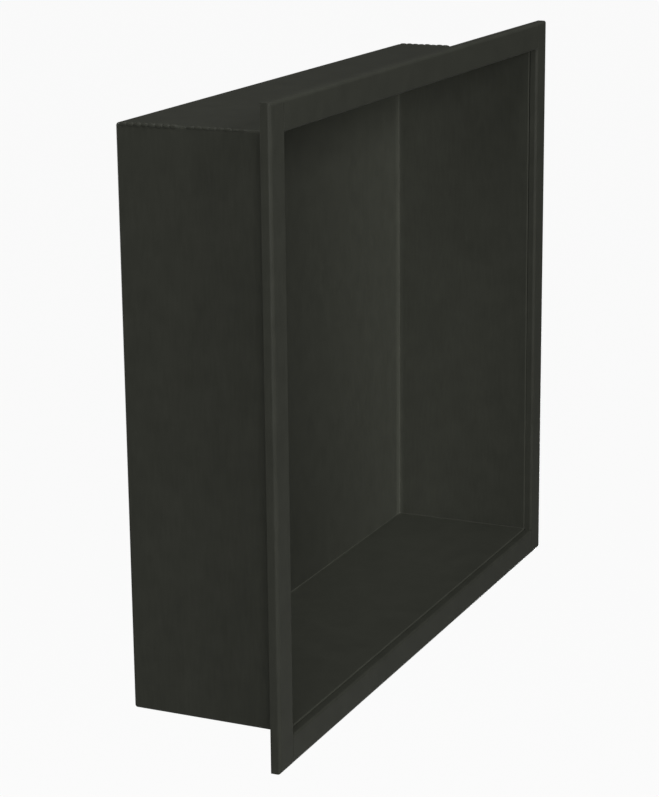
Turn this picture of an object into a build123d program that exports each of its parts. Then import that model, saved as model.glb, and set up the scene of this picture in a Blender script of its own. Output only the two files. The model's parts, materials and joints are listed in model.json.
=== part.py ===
from build123d import *
import os

# Opening and depth, seen from the front of the wall
opening_width = 350.0
opening_height = 300.0
total_depth = 90.0  # front of the flange to the back of the box
sheet = 1.0  # stainless sheet, the same for box and flange

# Flange: full-height stiles with rails butted between them, all folded into rim, face and lip
flange_face = 15.5  # outer edge to opening
rim_depth = 5.5  # outer rim, turned back until it meets the wall
rim_fold = 1.0  # inside radius of the fold between face and rim
lip_depth = 12.0  # inner lip, turned back over the outside of the box
lip_fold = 0.4  # inside radius of the fold between face and lip
rail_bite = 0.3  # how far the rails' welded ends run into the stiles' inner folds

# Box: sits inside the lip and stops short of the flange's face
box_setback = 4.5  # front of the flange to the box's front edge
box_fold = 0.5  # inside radius of the box's edges

# X runs to the right, Y into the wall and Z up. The wall's face is Y = 0, with the origin
# at the middle of the opening, so the flange's front stands one rim depth before the wall.
front = Plane.XZ.offset(rim_depth)
flange_width = opening_width + 2 * flange_face
flange_height = opening_height + 2 * flange_face
face_middle = -rim_depth + sheet / 2
rim_fold_middle = rim_fold + sheet / 2
face_start = rim_fold + sheet

with BuildPart() as niche_body:
    # Box, closed at the back and open at the front
    with BuildSketch(front.offset(-box_setback)):
        Rectangle(opening_width, opening_height)
    extrude(amount=-(total_depth - box_setback))
    long_edges = niche_body.edges().filter_by(Axis.Y)
    back_edges = niche_body.faces().sort_by(Axis.Y)[-1].edges()
    fillet(long_edges + back_edges, radius=box_fold + sheet)
    mouth = niche_body.faces().sort_by(Axis.Y)[0]
    offset(amount=-sheet, openings=mouth)

    # Rim and its fold, drawn on the middle of the sheet at the left-hand side and taken
    # once round the flange's outer edge from the middle of that side, with mitred corners
    rim_middle = -flange_width / 2 + sheet / 2
    with BuildSketch(Plane.XY):
        with BuildLine():
            rim = Line((rim_middle, 0), (rim_middle, face_middle + rim_fold_middle))
            JernArc(rim @ 1, rim % 1, rim_fold_middle, 90)
        trace(line_width=sheet)
    with BuildLine():
        Polyline(
            (-flange_width / 2, 0, 0),
            (-flange_width / 2, 0, flange_height / 2),
            (flange_width / 2, 0, flange_height / 2),
            (flange_width / 2, 0, -flange_height / 2),
            (-flange_width / 2, 0, -flange_height / 2),
            close=True,
        )
    sweep(transition=Transition.RIGHT)

    # Face, inner fold and lip: the stiles run the full height inside the rim, and the square
    # ends of the rails butt on the stiles, which leaves a valley beside each inner fold
    stile_section = Plane.XY
    rail_section = Plane((0, 0, 0), x_dir=(0, 0, 1), z_dir=(-1, 0, 0))
    strips = (
        (stile_section, flange_width / 2, opening_width / 2, flange_height / 2 - face_start),
        (rail_section, flange_height / 2, opening_height / 2, opening_width / 2 + rail_bite),
    )
    for section, outer_edge, opening_edge, half_length in strips:
        with BuildSketch(section):
            with BuildLine():
                FilletPolyline(
                    (outer_edge - face_start, face_middle),
                    (opening_edge + sheet / 2, face_middle),
                    (opening_edge + sheet / 2, 0),
                    radius=lip_fold + sheet / 2,
                )
            trace(line_width=sheet)
            mirror(about=Plane.YZ)
        extrude(amount=half_length, both=True)

    # Behind the wall's face the lip goes on round the opening alone, as a collar on the box
    with BuildSketch(Plane.XZ):
        Rectangle(opening_width + 2 * sheet, opening_height + 2 * sheet)
        Rectangle(opening_width, opening_height, mode=Mode.SUBTRACT)
    extrude(amount=rim_depth - lip_depth)

os.makedirs("parts", exist_ok=True)
niche_body.part.label = "niche_body"
export_step(niche_body.part, "parts/niche_body.step")
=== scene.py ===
"""Shower niche insert: a folded steel box with a narrow flange round its mouth, coated satin black."""

import json
import math
import random

import bmesh
import bpy
from bpy.props import FloatProperty, FloatVectorProperty, PointerProperty
from mathutils import Matrix, Quaternion, Vector


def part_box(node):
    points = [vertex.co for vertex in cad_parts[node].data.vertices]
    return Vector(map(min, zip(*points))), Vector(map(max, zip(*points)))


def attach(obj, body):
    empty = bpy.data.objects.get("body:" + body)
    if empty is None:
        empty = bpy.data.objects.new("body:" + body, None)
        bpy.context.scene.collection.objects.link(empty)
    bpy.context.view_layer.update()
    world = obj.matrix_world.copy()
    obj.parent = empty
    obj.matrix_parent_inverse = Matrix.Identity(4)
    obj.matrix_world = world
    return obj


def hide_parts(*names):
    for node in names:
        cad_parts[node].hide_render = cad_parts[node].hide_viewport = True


bl_info = {
    "name": "Shower Niche Insert",
    "version": (1, 0, 0),
    "blender": (4, 5, 0),
    "location": "View3D > Sidebar > Niche",
    "description": "Models a recessed shower niche of black coated sheet steel, with its studio",
    "category": "Object",
}

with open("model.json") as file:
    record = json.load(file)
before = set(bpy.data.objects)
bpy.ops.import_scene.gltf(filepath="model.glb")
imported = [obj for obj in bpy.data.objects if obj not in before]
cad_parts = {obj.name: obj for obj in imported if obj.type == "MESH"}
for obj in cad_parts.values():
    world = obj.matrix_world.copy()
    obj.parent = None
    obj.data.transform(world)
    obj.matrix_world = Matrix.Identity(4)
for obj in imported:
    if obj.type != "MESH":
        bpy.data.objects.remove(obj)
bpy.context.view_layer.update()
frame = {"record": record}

MM = 0.001
TOUCH = 0.001 * MM  # points nearer than this lie on the same plane
BODY = "root"
NODE = "niche_body"

# The flange's front is the lowest Y, the back of the box the highest, and the wall's face is Y = 0
LOW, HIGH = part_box(NODE)
MOUNTS = {mount["name"]: Vector(mount["pos_m"]) for mount in frame["record"]["mounts"]}
WALL_Y = MOUNTS["wall_seat"].y
FLOOR_Z = MOUNTS["niche_floor"].z

RIGHT, BACK, UP = Vector((1, 0, 0)), Vector((0, 1, 0)), Vector((0, 0, 1))

# Runs of weld on a long edge: start and end as shares of the depth, then the ripples' size at each
WELD_RUNS = ((0.95, 0.58, 1.0, 1.0), (0.52, 0.14, 0.9, 0.7))
RIPPLE_SPREAD = (0.9, 1.06)  # smallest and largest ripple, as shares of the bead's radius
RIPPLE_REACH = 0.75  # half the length of a ripple, as a share of the pitch, so that they run together
WELD_SEED = 7

# Softboxes: name, azimuth and elevation in degrees, distance and size in metres, watts
SOFTBOXES = (
    ("left_softbox", -67, 5, 2.2, 1.0, 23.5),
    ("key_softbox", -15, 25, 2.2, 1.0, 36.5),
    ("high_softbox", -78, 50, 2.2, 1.0, 20),
    ("top_softbox", 0, 90, 2.2, 1.6, 29),
    ("back_softbox", 175, 5, 2.2, 1.2, 25),
    ("right_softbox", 100, -20, 2.2, 0.6, 20),
)
STUDIO_REACH = 40.0  # metres from the middle of the studio's floor to its sides, which stay out of view


def linear(hex_colour):
    """The linear RGB of an sRGB hex colour."""
    values = (int(hex_colour[i : i + 2], 16) / 255 for i in (1, 3, 5))
    return tuple(v / 12.92 if v <= 0.04045 else ((v + 0.055) / 1.055) ** 2.4 for v in values)


class NicheSizes(bpy.types.PropertyGroup):
    """Sizes of the sheet, the flange, the box and the welds"""

    sheet: FloatProperty(
        name="Sheet",
        description="Thickness of the steel sheet",
        default=1.0 * MM,
        unit="LENGTH",
    )
    rim_fold: FloatProperty(
        name="Rim fold",
        description="Outside radius of the fold at the flange's rim",
        default=2.0 * MM,
        unit="LENGTH",
    )
    lip_fold: FloatProperty(
        name="Lip fold",
        description="Outside radius of the fold at the opening",
        default=1.4 * MM,
        unit="LENGTH",
    )
    lip_lap: FloatProperty(
        name="Lip lap",
        description="Lip's reach behind the wall's face",
        default=6.5 * MM,
        unit="LENGTH",
    )
    rail_bite: FloatProperty(
        name="Rail bite",
        description="How far the rails' welded ends run into the stiles' inner folds",
        default=0.7 * MM,
        unit="LENGTH",
    )
    box_setback: FloatProperty(
        name="Box setback",
        description="Front of the flange to the front edge of the box",
        default=4.5 * MM,
        unit="LENGTH",
    )
    box_radius: FloatProperty(
        name="Box radius",
        description="Outside radius of the box's edges",
        default=1.5 * MM,
        unit="LENGTH",
    )
    racked: FloatProperty(
        name="Racked",
        description="How far the box's upper right front corner stands in from the lip",
        default=1.2 * MM,
        unit="LENGTH",
    )
    broken_edge: FloatProperty(
        name="Broken edge",
        description="Rounding of the cut edges",
        default=0.15 * MM,
        unit="LENGTH",
    )
    bead_radius: FloatProperty(
        name="Bead radius",
        description="Radius of the welds on the box's edges",
        default=1.3 * MM,
        unit="LENGTH",
    )
    bead_sunk: FloatProperty(
        name="Bead sunk",
        description="Bead's middle behind the box's faces",
        default=0.7 * MM,
        unit="LENGTH",
    )
    bead_pitch: FloatProperty(
        name="Bead pitch",
        description="Length of one ripple of a weld",
        default=3.9 * MM,
        unit="LENGTH",
    )


class CoatFinish(bpy.types.PropertyGroup):
    """Colour and gloss of the coat, and the painted light and shade in its colour"""

    colour: FloatVectorProperty(
        name="Coat",
        description="Colour of the coat",
        subtype="COLOR",
        default=linear("#2d2e29"),
    )
    mottle: FloatProperty(
        name="Mottle",
        description="How far streaks and blotches stray from the colour",
        subtype="FACTOR",
        default=0.11,
        min=0,
        max=1,
    )
    roughness: FloatProperty(
        name="Roughness",
        description="Roughness of the coat",
        subtype="FACTOR",
        default=0.42,
        min=0,
        max=1,
    )
    specular: FloatProperty(
        name="Specular",
        description="Specular level of the coat",
        subtype="FACTOR",
        default=0.06,
        min=0,
        max=1,
    )
    # Painted light: the coat's colour is made lighter deep in the box's corners
    painted_light_depth: FloatProperty(
        name="Thin coat",
        description="How much lighter the coat looks deep in the box's corners, where little powder reaches",
        default=0.8,
    )
    # Painted light: the coat's colour is made lighter all over the box's floor
    painted_light_floor: FloatProperty(
        name="Thin floor",
        description="How much lighter the coat looks all over the box's floor",
        default=0.1,
    )
    # Painted highlight: the coat's colour is made lighter in the corners' creases and at the box's cut front
    # edge
    painted_highlight_edges: FloatProperty(
        name="Thin edge",
        description="How much lighter the coat looks in the corners' creases and at the box's cut front edge",
        default=0.4,
    )
    # Painted shade: the coat's colour is made darker in the joint between box and lip
    painted_shade_joint: FloatProperty(
        name="Dark joint",
        description="How much darker the open joint between box and lip looks",
        subtype="FACTOR",
        default=0.9,
        min=0,
        max=1,
    )


class StudioSetup(bpy.types.PropertyGroup):
    """Camera and floor of the studio, and the light of its room"""

    azimuth: FloatProperty(
        name="Azimuth",
        description="Camera's turn about Z",
        default=math.radians(-65.541),
        subtype="ANGLE",
    )
    elevation: FloatProperty(
        name="Elevation",
        description="Camera's height angle",
        default=math.radians(14.992),
        subtype="ANGLE",
    )
    roll: FloatProperty(
        name="Roll",
        description="Camera's tilt sideways",
        default=math.radians(-0.577),
        subtype="ANGLE",
    )
    distance: FloatProperty(
        name="Distance",
        description="Camera to its target",
        default=1277.2 * MM,
        unit="LENGTH",
    )
    target: FloatVectorProperty(
        name="Target",
        description="Point at the middle of the picture",
        default=(-29.5 * MM, 39.5 * MM, -18.2 * MM),
        subtype="XYZ",
        unit="LENGTH",
    )
    lens: FloatProperty(
        name="Lens",
        description="Focal length in millimetres, for a 36 mm sensor",
        default=106.23,
        unit="CAMERA",
    )
    floor_drop: FloatProperty(
        name="Floor drop",
        description="Origin to the floor, as in a shower",
        default=1.2,
        unit="LENGTH",
    )
    floor_colour: FloatVectorProperty(
        name="Floor",
        description="Colour of the floor's paint",
        subtype="COLOR",
        default=linear("#c6c6c4"),
    )
    white_share: FloatProperty(
        name="White share",
        description="Share of plain white in the floor as the camera sees it",
        default=0.95,
        subtype="FACTOR",
        min=0,
        max=1,
    )
    ambient: FloatProperty(
        name="Ambient",
        description="Light of the room from all sides",
        default=0.05,
    )


def add_node(tree, kind, inputs=None, **settings):
    """Adds a node with its settings; each input is a value or another node's output."""
    node = tree.nodes.new(kind)
    for name, value in settings.items():
        setattr(node, name, value)
    for name, value in (inputs or {}).items():
        if isinstance(value, bpy.types.NodeSocket):
            tree.links.new(value, node.inputs[name])
        else:
            node.inputs[name].default_value = value
    return node


def opening_half(sizes):
    """Half the width and height of the opening, which is the outside of the box."""
    half_height = -FLOOR_Z + sizes.sheet
    face = HIGH.z - half_height
    return HIGH.x - face, half_height


def band(start, end):
    """The middle of a band and half its width, the two numbers that a comparison takes."""
    return (start + end) / 2, (end - start) / 2


def painted_light_and_shade(tree, place, finish, sizes):
    """Adds the nodes for how light the coat looks at a place, and gives back their last output.

    The coat's colour is painted lighter deep in the box and on its floor, as painted light, and in its
    creases and round its cut front edge, as painted highlights. The open joint between box and lip is painted
    dark, as painted shade.
    """
    half_width, half_height = opening_half(sizes)
    skin = sizes.sheet / 2
    edge_y = LOW.y + sizes.box_setback
    joint_end = WALL_Y + sizes.lip_lap / 2
    edge_before, edge_behind = 0.16 * MM, 0.66 * MM  # painted highlight round the cut edge
    back_fade, back_full = 7 * MM, 4 * MM  # painted highlight in the crease on the back wall, from the outside of the sides
    side_fade, side_full = 4 * MM, 1.5 * MM  # painted highlight in the crease on the side walls, from the outside of the back
    clear = 0.02 * MM  # keeps the lip out of the box's edge, and the edge out of the joint

    known = dict(zip("xyz", add_node(tree, "ShaderNodeSeparateXYZ", {"Vector": place}).outputs))
    known["width"] = add_node(tree, "ShaderNodeMath", {0: known["x"]}, operation="ABSOLUTE").outputs[0]

    # Ramps from 0 to 1: what they follow, where they start and where they end
    ramps = {
        "depth": ("y", LOW.y, HIGH.y),
        "forward": ("y", HIGH.y, edge_y),
        "upward": ("z", -half_height, half_height),
        "downward": ("z", 0, FLOOR_Z),
        "rightward": ("x", -half_width, half_width),
        "outward": ("width", 0, half_width),
        "crease_on_back": ("width", half_width - back_fade, half_width - back_full),
        "crease_on_side": ("y", HIGH.y - side_fade, HIGH.y - side_full),
    }
    for name, (along, start, end) in ramps.items():
        inputs = {"Value": known[along], "From Min": start, "From Max": end}
        known[name] = add_node(tree, "ShaderNodeMapRange", inputs).outputs["Result"]

    # Steps of the sum: a name, what is done, and its inputs, which are numbers or names already known
    steps = (
        # Distance beyond the opening's edge, which is negative within it
        ("height", "ABSOLUTE", "z"),
        ("beside", "SUBTRACT", "width", half_width),
        ("above", "SUBTRACT", "height", half_height),
        ("beyond", "MAXIMUM", "beside", "above"),
        # Inside of the box, told from its outside with the racked corner put back
        ("near_corner", "MULTIPLY", "forward", "upward"),
        ("racked", "MULTIPLY", "near_corner", "rightward"),
        ("square_x", "MULTIPLY_ADD", "racked", sizes.racked, "x"),
        ("square_width", "ABSOLUTE", "square_x"),
        ("past_side", "SUBTRACT", "square_width", half_width),
        ("past_wall", "MAXIMUM", "past_side", "above"),
        ("within_walls", "LESS_THAN", "past_wall", -skin),
        ("before_back", "LESS_THAN", "y", HIGH.y - skin),
        ("inside", "MULTIPLY", "within_walls", "before_back"),
        # Painted light inside: lighter towards the back and the sides and on the floor, and painted
        # highlights in the creases, more so low down
        ("on_floor", "LESS_THAN", "z", FLOOR_Z + skin),
        ("reach", "MAXIMUM", "outward", "on_floor"),
        ("deep", "MULTIPLY", "depth", "reach"),
        ("painted_deep", "MULTIPLY", "deep", finish.painted_light_depth),
        ("painted_light_floor", "MULTIPLY_ADD", "on_floor", finish.painted_light_floor, "painted_deep"),
        ("crease", "MULTIPLY", "crease_on_back", "crease_on_side"),
        ("crease_highlight_gain", "MULTIPLY_ADD", "downward", finish.painted_highlight_edges, finish.painted_highlight_edges),
        ("painted_crease", "MULTIPLY_ADD", "crease", "crease_highlight_gain", "painted_light_floor"),
        ("painted_inside", "MULTIPLY", "inside", "painted_crease"),
        # Painted highlight round the box's cut front edge
        ("at_edge", "COMPARE", "y", *band(edge_y - edge_before, edge_y + edge_behind)),
        ("off_lip", "LESS_THAN", "beyond", -clear),
        ("edge", "MULTIPLY", "at_edge", "off_lip"),
        ("painted_light_sum", "MULTIPLY_ADD", "edge", finish.painted_highlight_edges, "painted_inside"),
        # Painted shade in the joint between box and lip
        ("across_joint", "COMPARE", "beyond", *band(-0.85 * MM, 0.05 * MM)),
        ("along_joint", "COMPARE", "y", *band(edge_y + clear, joint_end + clear)),
        ("joint", "MULTIPLY", "across_joint", "along_joint"),
        ("left_light", "MULTIPLY_ADD", "joint", -finish.painted_shade_joint, 1.0),
        ("lightness", "ADD", "painted_light_sum", 1.0),
        ("shade", "MULTIPLY", "lightness", "left_light"),
    )
    for name, operation, *values in steps:
        inputs = {i: known.get(value, value) for i, value in enumerate(values)}
        known[name] = add_node(tree, "ShaderNodeMath", inputs, operation=operation).outputs[0]
    return known["shade"]


def powder_coat(finish, sizes):
    """Satin black polyester powder coat, baked on brushed stainless sheet.

    It gives the eye a near-black, slightly warm grey with a soft sheen, a fine orange peel that breaks up
    reflections, and faint upright streaks where the sheet's brushing shows through the thin coat.
    """
    name = "satin_black_powder_coat"
    if name in bpy.data.materials:
        return bpy.data.materials[name]
    streak_width, streak_length = 1.5 * MM, 11 * MM  # coarser than real brushing, so that it shows at all
    blotch = 12 * MM
    peel, peel_height, peel_share = 1.2 * MM, 0.05 * MM, 0.1  # coarser than the real 0.3 mm, likewise
    gloss_swing = 0.02  # how far the streaks change the roughness
    material = bpy.data.materials.new(name)
    material.use_nodes = True
    tree = material.node_tree
    tree.nodes.clear()
    place = add_node(tree, "ShaderNodeTexCoord").outputs["Object"]

    stretched = add_node(
        tree,
        "ShaderNodeMapping",
        {"Vector": place, "Scale": (1 / streak_width, 1 / streak_width, 1 / streak_length)},
    )
    streaks = add_node(
        tree,
        "ShaderNodeTexNoise",
        {"Vector": stretched.outputs["Vector"], "Scale": 1.0, "Detail": 3.0},
    )
    blotches = add_node(tree, "ShaderNodeTexNoise", {"Vector": place, "Scale": 1 / blotch, "Detail": 2.0})
    mottle = add_node(
        tree,
        "ShaderNodeMath",
        {0: streaks.outputs["Fac"], 1: blotches.outputs["Fac"]},
        operation="ADD",
    )
    tint = add_node(
        tree,
        "ShaderNodeMapRange",
        {"Value": mottle.outputs[0], "From Min": 0.6, "From Max": 1.4},
    )
    shares = 1 - finish.mottle, 1 + finish.mottle
    dark, light = (tuple(channel * share for channel in finish.colour) + (1.0,) for share in shares)
    colour = add_node(
        tree,
        "ShaderNodeMix",
        {"Factor": tint.outputs["Result"], 6: dark, 7: light},  # 6 and 7 are the sockets for colours
        data_type="RGBA",
    )
    # Painted light and shade: the colour is scaled lighter deep in the box, on its floor, in its creases and
    # at its cut edge, and darker in the joint between box and lip
    shown = add_node(
        tree,
        "ShaderNodeVectorMath",
        {0: colour.outputs[2], "Scale": painted_light_and_shade(tree, place, finish, sizes)},
        operation="SCALE",
    )
    gloss = add_node(
        tree,
        "ShaderNodeMapRange",
        {
            "Value": streaks.outputs["Fac"],
            "From Min": 0.3,
            "From Max": 0.7,
            "To Min": finish.roughness - gloss_swing,
            "To Max": finish.roughness + gloss_swing,
        },
    )
    orange_peel = add_node(tree, "ShaderNodeTexNoise", {"Vector": place, "Scale": 1 / peel, "Detail": 2.0})
    bump = add_node(
        tree,
        "ShaderNodeBump",
        {"Height": orange_peel.outputs["Fac"], "Strength": peel_share, "Distance": peel_height},
    )
    coat = add_node(
        tree,
        "ShaderNodeBsdfPrincipled",
        {
            "Base Color": shown.outputs["Vector"],
            "Roughness": gloss.outputs["Result"],
            "Specular IOR Level": finish.specular,
            "Normal": bump.outputs["Normal"],
        },
    )
    add_node(tree, "ShaderNodeOutputMaterial", {"Surface": coat.outputs["BSDF"]})
    return material


def open_cuboid(bm, low, high, open_sides):
    """Adds the outside of a folded sheet, its folds still sharp: a cuboid without its open sides."""
    place = Matrix.Translation((low + high) / 2) @ Matrix.Diagonal((*(high - low), 1.0))
    verts = bmesh.ops.create_cube(bm, size=1.0, matrix=place)["verts"]
    bm.normal_update()
    faces = list(dict.fromkeys(face for vert in verts for face in vert.link_faces))
    opened = [face for face in faces if any(face.normal.dot(side) > 0.5 for side in open_sides)]
    bmesh.ops.delete(bm, geom=opened, context="FACES")


def weigh_folds(bm, share):
    """Gives each fold its share of the fold radius, which the bevel then makes round."""
    weights = bm.edges.layers.float.new("bevel_weight_edge")
    for edge in bm.edges:
        if not edge.is_boundary and edge.calc_face_angle() > math.radians(60):
            edge[weights] = share(edge)


def rack(verts, sizes):
    """Moves vertices in with the box's upper right front corner, the less the farther they are from it."""
    half_width, half_height = opening_half(sizes)
    low = Vector((-half_width, LOW.y + sizes.box_setback, -half_height))
    size = Vector((half_width, HIGH.y, half_height)) - low
    for vert in verts:
        across, deep, up = ((vert.co[i] - low[i]) / size[i] for i in range(3))
        vert.co.x -= sizes.racked * across * (1 - deep) * up


def sheet_modifiers(sizes, fold):
    """Modifiers that round a sheet's folds, thicken it inwards, break its edges and shade it flat."""
    return (
        (
            "BEVEL",
            {"width": fold, "segments": 6, "limit_method": "WEIGHT", "use_clamp_overlap": False},
        ),
        ("SOLIDIFY", {"thickness": sizes.sheet, "offset": -1.0, "use_even_offset": True}),
        (
            "BEVEL",
            {
                "width": sizes.broken_edge,
                "segments": 2,
                "limit_method": "ANGLE",
                "angle_limit": math.radians(50),
                "use_clamp_overlap": False,
            },
        ),
        ("WEIGHTED_NORMAL", {"keep_sharp": False}),
    )


def make_piece(name, bm, modifiers, material):
    """Turns a bmesh into a piece of the insert with its modifiers, coat and place in the frame."""
    mesh = bpy.data.meshes.new(name)
    bm.to_mesh(mesh)
    bm.free()
    mesh.shade_smooth()
    piece = bpy.data.objects.new(name, mesh)
    bpy.context.scene.collection.objects.link(piece)
    mesh.materials.append(material)
    for kind, settings in modifiers:
        modifier = piece.modifiers.new(kind.lower(), kind)
        for key, value in settings.items():
            setattr(modifier, key, value)
    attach(piece, BODY)
    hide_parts(NODE)
    return piece


class NICHE_OT_add_box(bpy.types.Operator):
    """Adds the box, folded from one sheet, with its racked front corner"""

    bl_idname = "niche.add_box"
    bl_label = "Add Box"

    def execute(self, context):
        sizes = context.scene.niche_sizes
        half_width, half_height = opening_half(sizes)
        low = Vector((-half_width, LOW.y + sizes.box_setback, -half_height))
        high = Vector((half_width, HIGH.y, half_height))
        bm = bmesh.new()
        open_cuboid(bm, low, high, (-BACK,))
        # The walls are divided so that they warp smoothly where the corner is racked
        bmesh.ops.subdivide_edges(bm, edges=bm.edges[:], cuts=7, use_grid_fill=True)
        weigh_folds(bm, lambda edge: 1.0)
        rack(bm.verts, sizes)
        coat = powder_coat(context.scene.niche_finish, sizes)
        make_piece("niche_box", bm, sheet_modifiers(sizes, sizes.box_radius), coat)
        return {"FINISHED"}


class NICHE_OT_add_flange(bpy.types.Operator):
    """Adds the flange: two full-height stiles and two rails butted between them"""

    bl_idname = "niche.add_flange"
    bl_label = "Add Flange"

    def execute(self, context):
        sizes = context.scene.niche_sizes
        half_width, half_height = opening_half(sizes)
        collar = half_height + sizes.sheet
        rail_half = half_width + sizes.rail_bite
        bm = bmesh.new()
        for side in (-1, 1):
            ends = sorted((side * half_width, side * HIGH.x))
            open_cuboid(bm, Vector((ends[0], LOW.y, LOW.z)), Vector((ends[1], WALL_Y, HIGH.z)), (BACK,))
        for height in (-collar, collar):
            geom = bm.verts[:] + bm.edges[:] + bm.faces[:]
            bmesh.ops.bisect_plane(bm, geom=geom, plane_co=UP * height, plane_no=UP, dist=TOUCH)
        for side in (-1, 1):
            ends = sorted((side * half_height, side * HIGH.z))
            open_cuboid(
                bm,
                Vector((-rail_half, LOW.y, ends[0])),
                Vector((rail_half, WALL_Y, ends[1])),
                (BACK, RIGHT, -RIGHT),
            )

        def on_lip(vert):
            across, up = abs(vert.co.x), abs(vert.co.z)
            inside = across < rail_half + TOUCH and up < collar + TOUCH
            return inside and vert.co.y > WALL_Y - TOUCH

        # Round the opening the lips go on behind the wall's face, where they lean in to the racked box
        # and close the gap
        lips = [edge for edge in bm.edges if edge.is_boundary and all(on_lip(v) for v in edge.verts)]
        if not lips:
            raise RuntimeError("The flange has no lip at the opening")
        made = bmesh.ops.extrude_edge_only(bm, edges=lips)["geom"]
        moved = [item for item in made if isinstance(item, bmesh.types.BMVert)]
        bmesh.ops.translate(bm, vec=BACK * sizes.lip_lap, verts=moved)
        rack(moved, sizes)

        def share_of_fold(edge):
            on_front = all(vert.co.y < LOW.y + TOUCH for vert in edge.verts)
            beside = all(abs(abs(vert.co.x) - half_width) < TOUCH for vert in edge.verts)
            above = all(abs(abs(vert.co.z) - half_height) < TOUCH for vert in edge.verts)
            return on_front * (sizes.lip_fold / sizes.rim_fold if beside or above else 1.0)

        weigh_folds(bm, share_of_fold)
        coat = powder_coat(context.scene.niche_finish, sizes)
        make_piece("niche_flange", bm, sheet_modifiers(sizes, sizes.rim_fold), coat)
        return {"FINISHED"}


class NICHE_OT_add_welds(bpy.types.Operator):
    """Adds the welds along the two upper long edges of the box, two runs of ripples on each"""

    bl_idname = "niche.add_welds"
    bl_label = "Add Welds"

    def execute(self, context):
        sizes = context.scene.niche_sizes
        half_width, half_height = opening_half(sizes)
        chance = random.Random(WELD_SEED)
        bm = bmesh.new()
        for side in (-1, 1):
            edge = Vector((side * (half_width - sizes.bead_sunk), 0, half_height - sizes.bead_sunk))
            for far, near, first, last in WELD_RUNS:
                ripples = round((far - near) * HIGH.y / sizes.bead_pitch)
                for i in range(ripples):
                    swell = first + (last - first) * i / (ripples - 1)
                    radius = sizes.bead_radius * swell * chance.uniform(*RIPPLE_SPREAD)
                    place = edge + BACK * (far * HIGH.y - i * sizes.bead_pitch)
                    shape = Matrix.Diagonal((radius, RIPPLE_REACH * sizes.bead_pitch, radius, 1.0))
                    bmesh.ops.create_uvsphere(
                        bm,
                        u_segments=16,
                        v_segments=10,
                        radius=1.0,
                        matrix=Matrix.Translation(place) @ shape,
                    )
        # What would show inside the box is put back to the middle of the sheet
        middle = half_width - sizes.sheet / 2, half_height - sizes.sheet / 2
        for vert in bm.verts:
            inside = middle[0] - abs(vert.co.x), middle[1] - abs(vert.co.z)
            if min(inside) > 0:
                axis = 0 if inside[0] < inside[1] else 2
                vert.co[axis] += math.copysign(min(inside), vert.co[axis])
        make_piece("corner_welds", bm, (), powder_coat(context.scene.niche_finish, sizes))
        return {"FINISHED"}


def studio_paint(studio):
    """Matt pale studio paint, rolled on: an even ground that the camera sees as almost pure white."""
    material = bpy.data.materials.new("matt_pale_studio_paint")
    material.use_nodes = True
    tree = material.node_tree
    tree.nodes.clear()
    seen = add_node(tree, "ShaderNodeLightPath").outputs["Is Camera Ray"]
    share = add_node(tree, "ShaderNodeMath", {0: seen, 1: studio.white_share}, operation="MULTIPLY")
    paint = add_node(
        tree,
        "ShaderNodeBsdfPrincipled",
        {"Base Color": (*studio.floor_colour, 1.0), "Roughness": 0.9, "Specular IOR Level": 0.1},
    )
    white = add_node(tree, "ShaderNodeEmission", {"Color": (1.0, 1.0, 1.0, 1.0), "Strength": 1.0})
    mix = add_node(
        tree,
        "ShaderNodeMixShader",
        {0: share.outputs[0], 1: paint.outputs["BSDF"], 2: white.outputs["Emission"]},
    )
    add_node(tree, "ShaderNodeOutputMaterial", {"Surface": mix.outputs["Shader"]})
    return material


def direction(azimuth, elevation):
    """The unit vector to a point at a turn about Z from the front, and at a height angle."""
    flat = math.cos(elevation)
    return Vector((math.sin(azimuth) * flat, -math.cos(azimuth) * flat, math.sin(elevation)))


def add_floor(studio):
    """Adds the studio's floor, a flat sheet that reaches out of view."""
    bm = bmesh.new()
    place = Matrix.Translation(-UP * studio.floor_drop)
    bmesh.ops.create_grid(bm, x_segments=1, y_segments=1, size=STUDIO_REACH, matrix=place)
    mesh = bpy.data.meshes.new("studio_floor")
    bm.to_mesh(mesh)
    bm.free()
    mesh.materials.append(studio_paint(studio))
    floor = bpy.data.objects.new("studio_floor", mesh)
    bpy.context.scene.collection.objects.link(floor)


def add_softbox(name, azimuth, elevation, distance, size, watts):
    """Adds a square softbox that faces the insert from a direction given in degrees."""
    data = bpy.data.lights.new(name, "AREA")
    data.size = size
    data.energy = watts
    lamp = bpy.data.objects.new(name, data)
    bpy.context.scene.collection.objects.link(lamp)
    way = direction(math.radians(azimuth), math.radians(elevation))
    lamp.location = way * distance
    lamp.rotation_mode = "QUATERNION"
    lamp.rotation_quaternion = way.to_track_quat("Z", "Y")


def add_room(studio):
    """Adds the room as the world: weak light from all sides, which the camera sees as white."""
    world = bpy.data.worlds.new("studio_room")
    bpy.context.scene.world = world
    world.use_nodes = True
    tree = world.node_tree
    tree.nodes.clear()
    seen = add_node(tree, "ShaderNodeLightPath").outputs["Is Camera Ray"]
    strength = add_node(tree, "ShaderNodeMapRange", {"Value": seen, "To Min": studio.ambient, "To Max": 1.0})
    room = add_node(
        tree,
        "ShaderNodeBackground",
        {"Color": (1.0, 1.0, 1.0, 1.0), "Strength": strength.outputs["Result"]},
    )
    add_node(tree, "ShaderNodeOutputWorld", {"Surface": room.outputs["Background"]})


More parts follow.
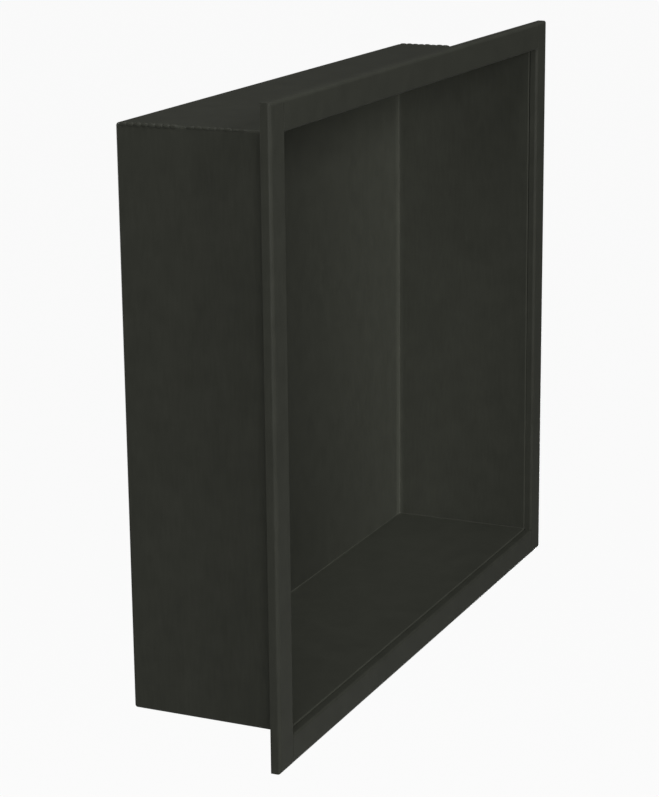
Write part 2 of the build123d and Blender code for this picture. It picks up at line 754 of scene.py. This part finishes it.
def add_camera(studio):
    """Adds the camera at the photograph's viewing angle."""
    back = direction(studio.azimuth, studio.elevation)
    data = bpy.data.cameras.new("photo_camera")
    data.lens = studio.lens
    camera = bpy.data.objects.new("photo_camera", data)
    bpy.context.scene.collection.objects.link(camera)
    camera.location = Vector(studio.target) + back * studio.distance
    camera.rotation_mode = "QUATERNION"
    camera.rotation_quaternion = (-back).to_track_quat("-Z", "Y") @ Quaternion((0, 0, 1), studio.roll)
    bpy.context.scene.camera = camera


class NICHE_OT_set_stage(bpy.types.Operator):
    """Adds the floor, the lamps, the room and the camera"""

    bl_idname = "niche.set_stage"
    bl_label = "Set Stage"

    def execute(self, context):
        studio = context.scene.niche_studio
        add_floor(studio)
        for softbox in SOFTBOXES:
            add_softbox(*softbox)
        add_room(studio)
        add_camera(studio)
        context.scene.view_settings.view_transform = "Standard"
        return {"FINISHED"}


class NICHE_PT_build(bpy.types.Panel):
    """Lists the insert's sizes, its finish, its studio and its operators"""

    bl_idname = "NICHE_PT_build"
    bl_label = "Shower Niche"
    bl_space_type = "VIEW_3D"
    bl_region_type = "UI"
    bl_category = "Niche"

    def draw(self, context):
        for group in (context.scene.niche_sizes, context.scene.niche_finish, context.scene.niche_studio):
            box = self.layout.box()
            for name in group.__annotations__:
                box.prop(group, name)
        for operator in OPERATORS:
            self.layout.operator(operator.bl_idname)


OPERATORS = (NICHE_OT_add_box, NICHE_OT_add_flange, NICHE_OT_add_welds, NICHE_OT_set_stage)
GROUPS = {"niche_sizes": NicheSizes, "niche_finish": CoatFinish, "niche_studio": StudioSetup}


def register():
    for cls in (*GROUPS.values(), *OPERATORS, NICHE_PT_build):
        bpy.utils.register_class(cls)
    for name, group in GROUPS.items():
        setattr(bpy.types.Scene, name, PointerProperty(type=group))


def unregister():
    for name in GROUPS:
        delattr(bpy.types.Scene, name)
    for cls in reversed((*GROUPS.values(), *OPERATORS, NICHE_PT_build)):
        bpy.utils.unregister_class(cls)


def main():
    register()
    bpy.ops.niche.add_box()
    bpy.ops.niche.add_flange()
    bpy.ops.niche.add_welds()
    bpy.ops.niche.set_stage()


if __name__ == "__main__":
    main()
